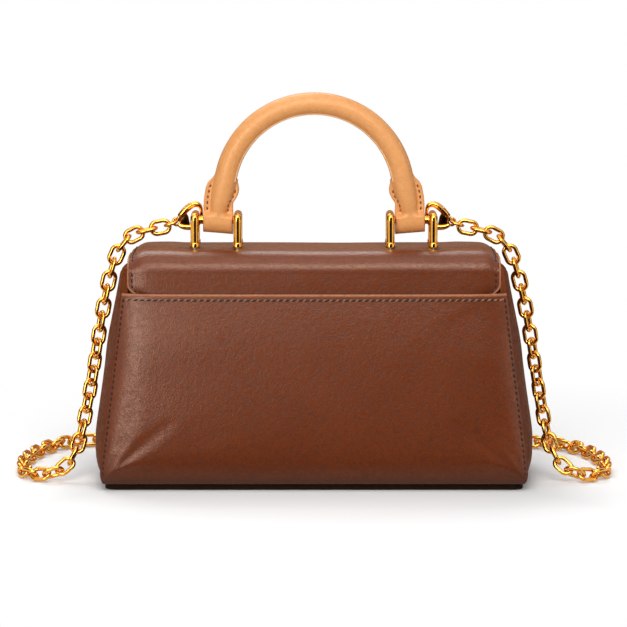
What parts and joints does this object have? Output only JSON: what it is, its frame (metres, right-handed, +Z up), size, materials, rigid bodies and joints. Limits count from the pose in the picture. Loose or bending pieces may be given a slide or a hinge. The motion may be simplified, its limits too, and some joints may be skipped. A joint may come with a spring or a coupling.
{
  "type": "chain shoulder bag",
  "caption": "Small trapezoid flap bag in smooth leather with a slip pocket on the back, a rolled top handle on metal brackets and a hooked-on chain strap.",
  "frame": {"origin": "middle of the base on the surface that the bag stands on", "axes": "+Z up, +X to the right seen from behind, the back with its slip pocket faces -Y and the flap +Y"},
  "size_m": [0.351, 0.1369, 0.2245],
  "materials": {
    "brown_leather": "smooth fine grain",
    "tan_leather": "natural, satin",
    "gold_metal": "polished",
    "lining_fabric": "woven",
    "stiff_board": "matte",
    "steel": "brushed"
  },
  "bodies": {
    "bag": {"pocket_panel": "brown_leather", "back_panel": "brown_leather", "front_panel": "brown_leather", "left_gusset": "brown_leather", "right_gusset": "brown_leather", "base_panel": "brown_leather", "top_panel": "brown_leather", "left_bracket": "gold_metal", "right_bracket": "gold_metal", "left_hook": "gold_metal", "right_hook": "gold_metal", "chain_left_drop": "gold_metal", "chain_floor_run": "gold_metal", "chain_right_drop": "gold_metal", "left_end_link": "gold_metal", "right_end_link": "gold_metal", "left_gate_pin": "gold_metal", "right_gate_pin": "gold_metal", "lining": "lining_fabric", "back_board": "stiff_board", "front_board": "stiff_board", "base_board": "stiff_board", "top_board": "stiff_board", "left_backing_plate": "steel", "right_backing_plate": "steel", "bracket_screws": "steel", "body_magnet": "steel"},
    "handle": {"handle_cover": "tan_leather", "handle_core": "lining_fabric", "left_handle_tab": "tan_leather", "right_handle_tab": "tan_leather"},
    "flap": {"flap_front": "brown_leather", "flap_magnet": "steel"},
    "left_gate": {"left_gate": "gold_metal"},
    "right_gate": {"right_gate": "gold_metal"}
  },
  "joints": [
    {"name": "handle_pivot", "type": "hinge", "parent": "bag", "child": "handle", "pos_m": [0, 0, 0.1505], "axis": [1, 0, 0], "range_deg": [-60, 88]},
    {"name": "flap_hinge", "type": "hinge", "parent": "bag", "child": "flap", "pos_m": [0, 0.017, 0.1341], "axis": [1, 0, 0], "range_deg": [0, 110]},
    {"name": "left_gate_hinge", "type": "hinge", "parent": "bag", "child": "left_gate", "pos_m": [-0.07828, 0.0042, 0.15346], "axis": [0, 1, 0], "range_deg": [0, 20], "stiffness_Nm_per_rad": 0.02},
    {"name": "right_gate_hinge", "type": "hinge", "parent": "bag", "child": "right_gate", "pos_m": [0.07828, 0.0042, 0.15346], "axis": [0, -1, 0], "range_deg": [0, 20], "stiffness_Nm_per_rad": 0.02}
  ]
}
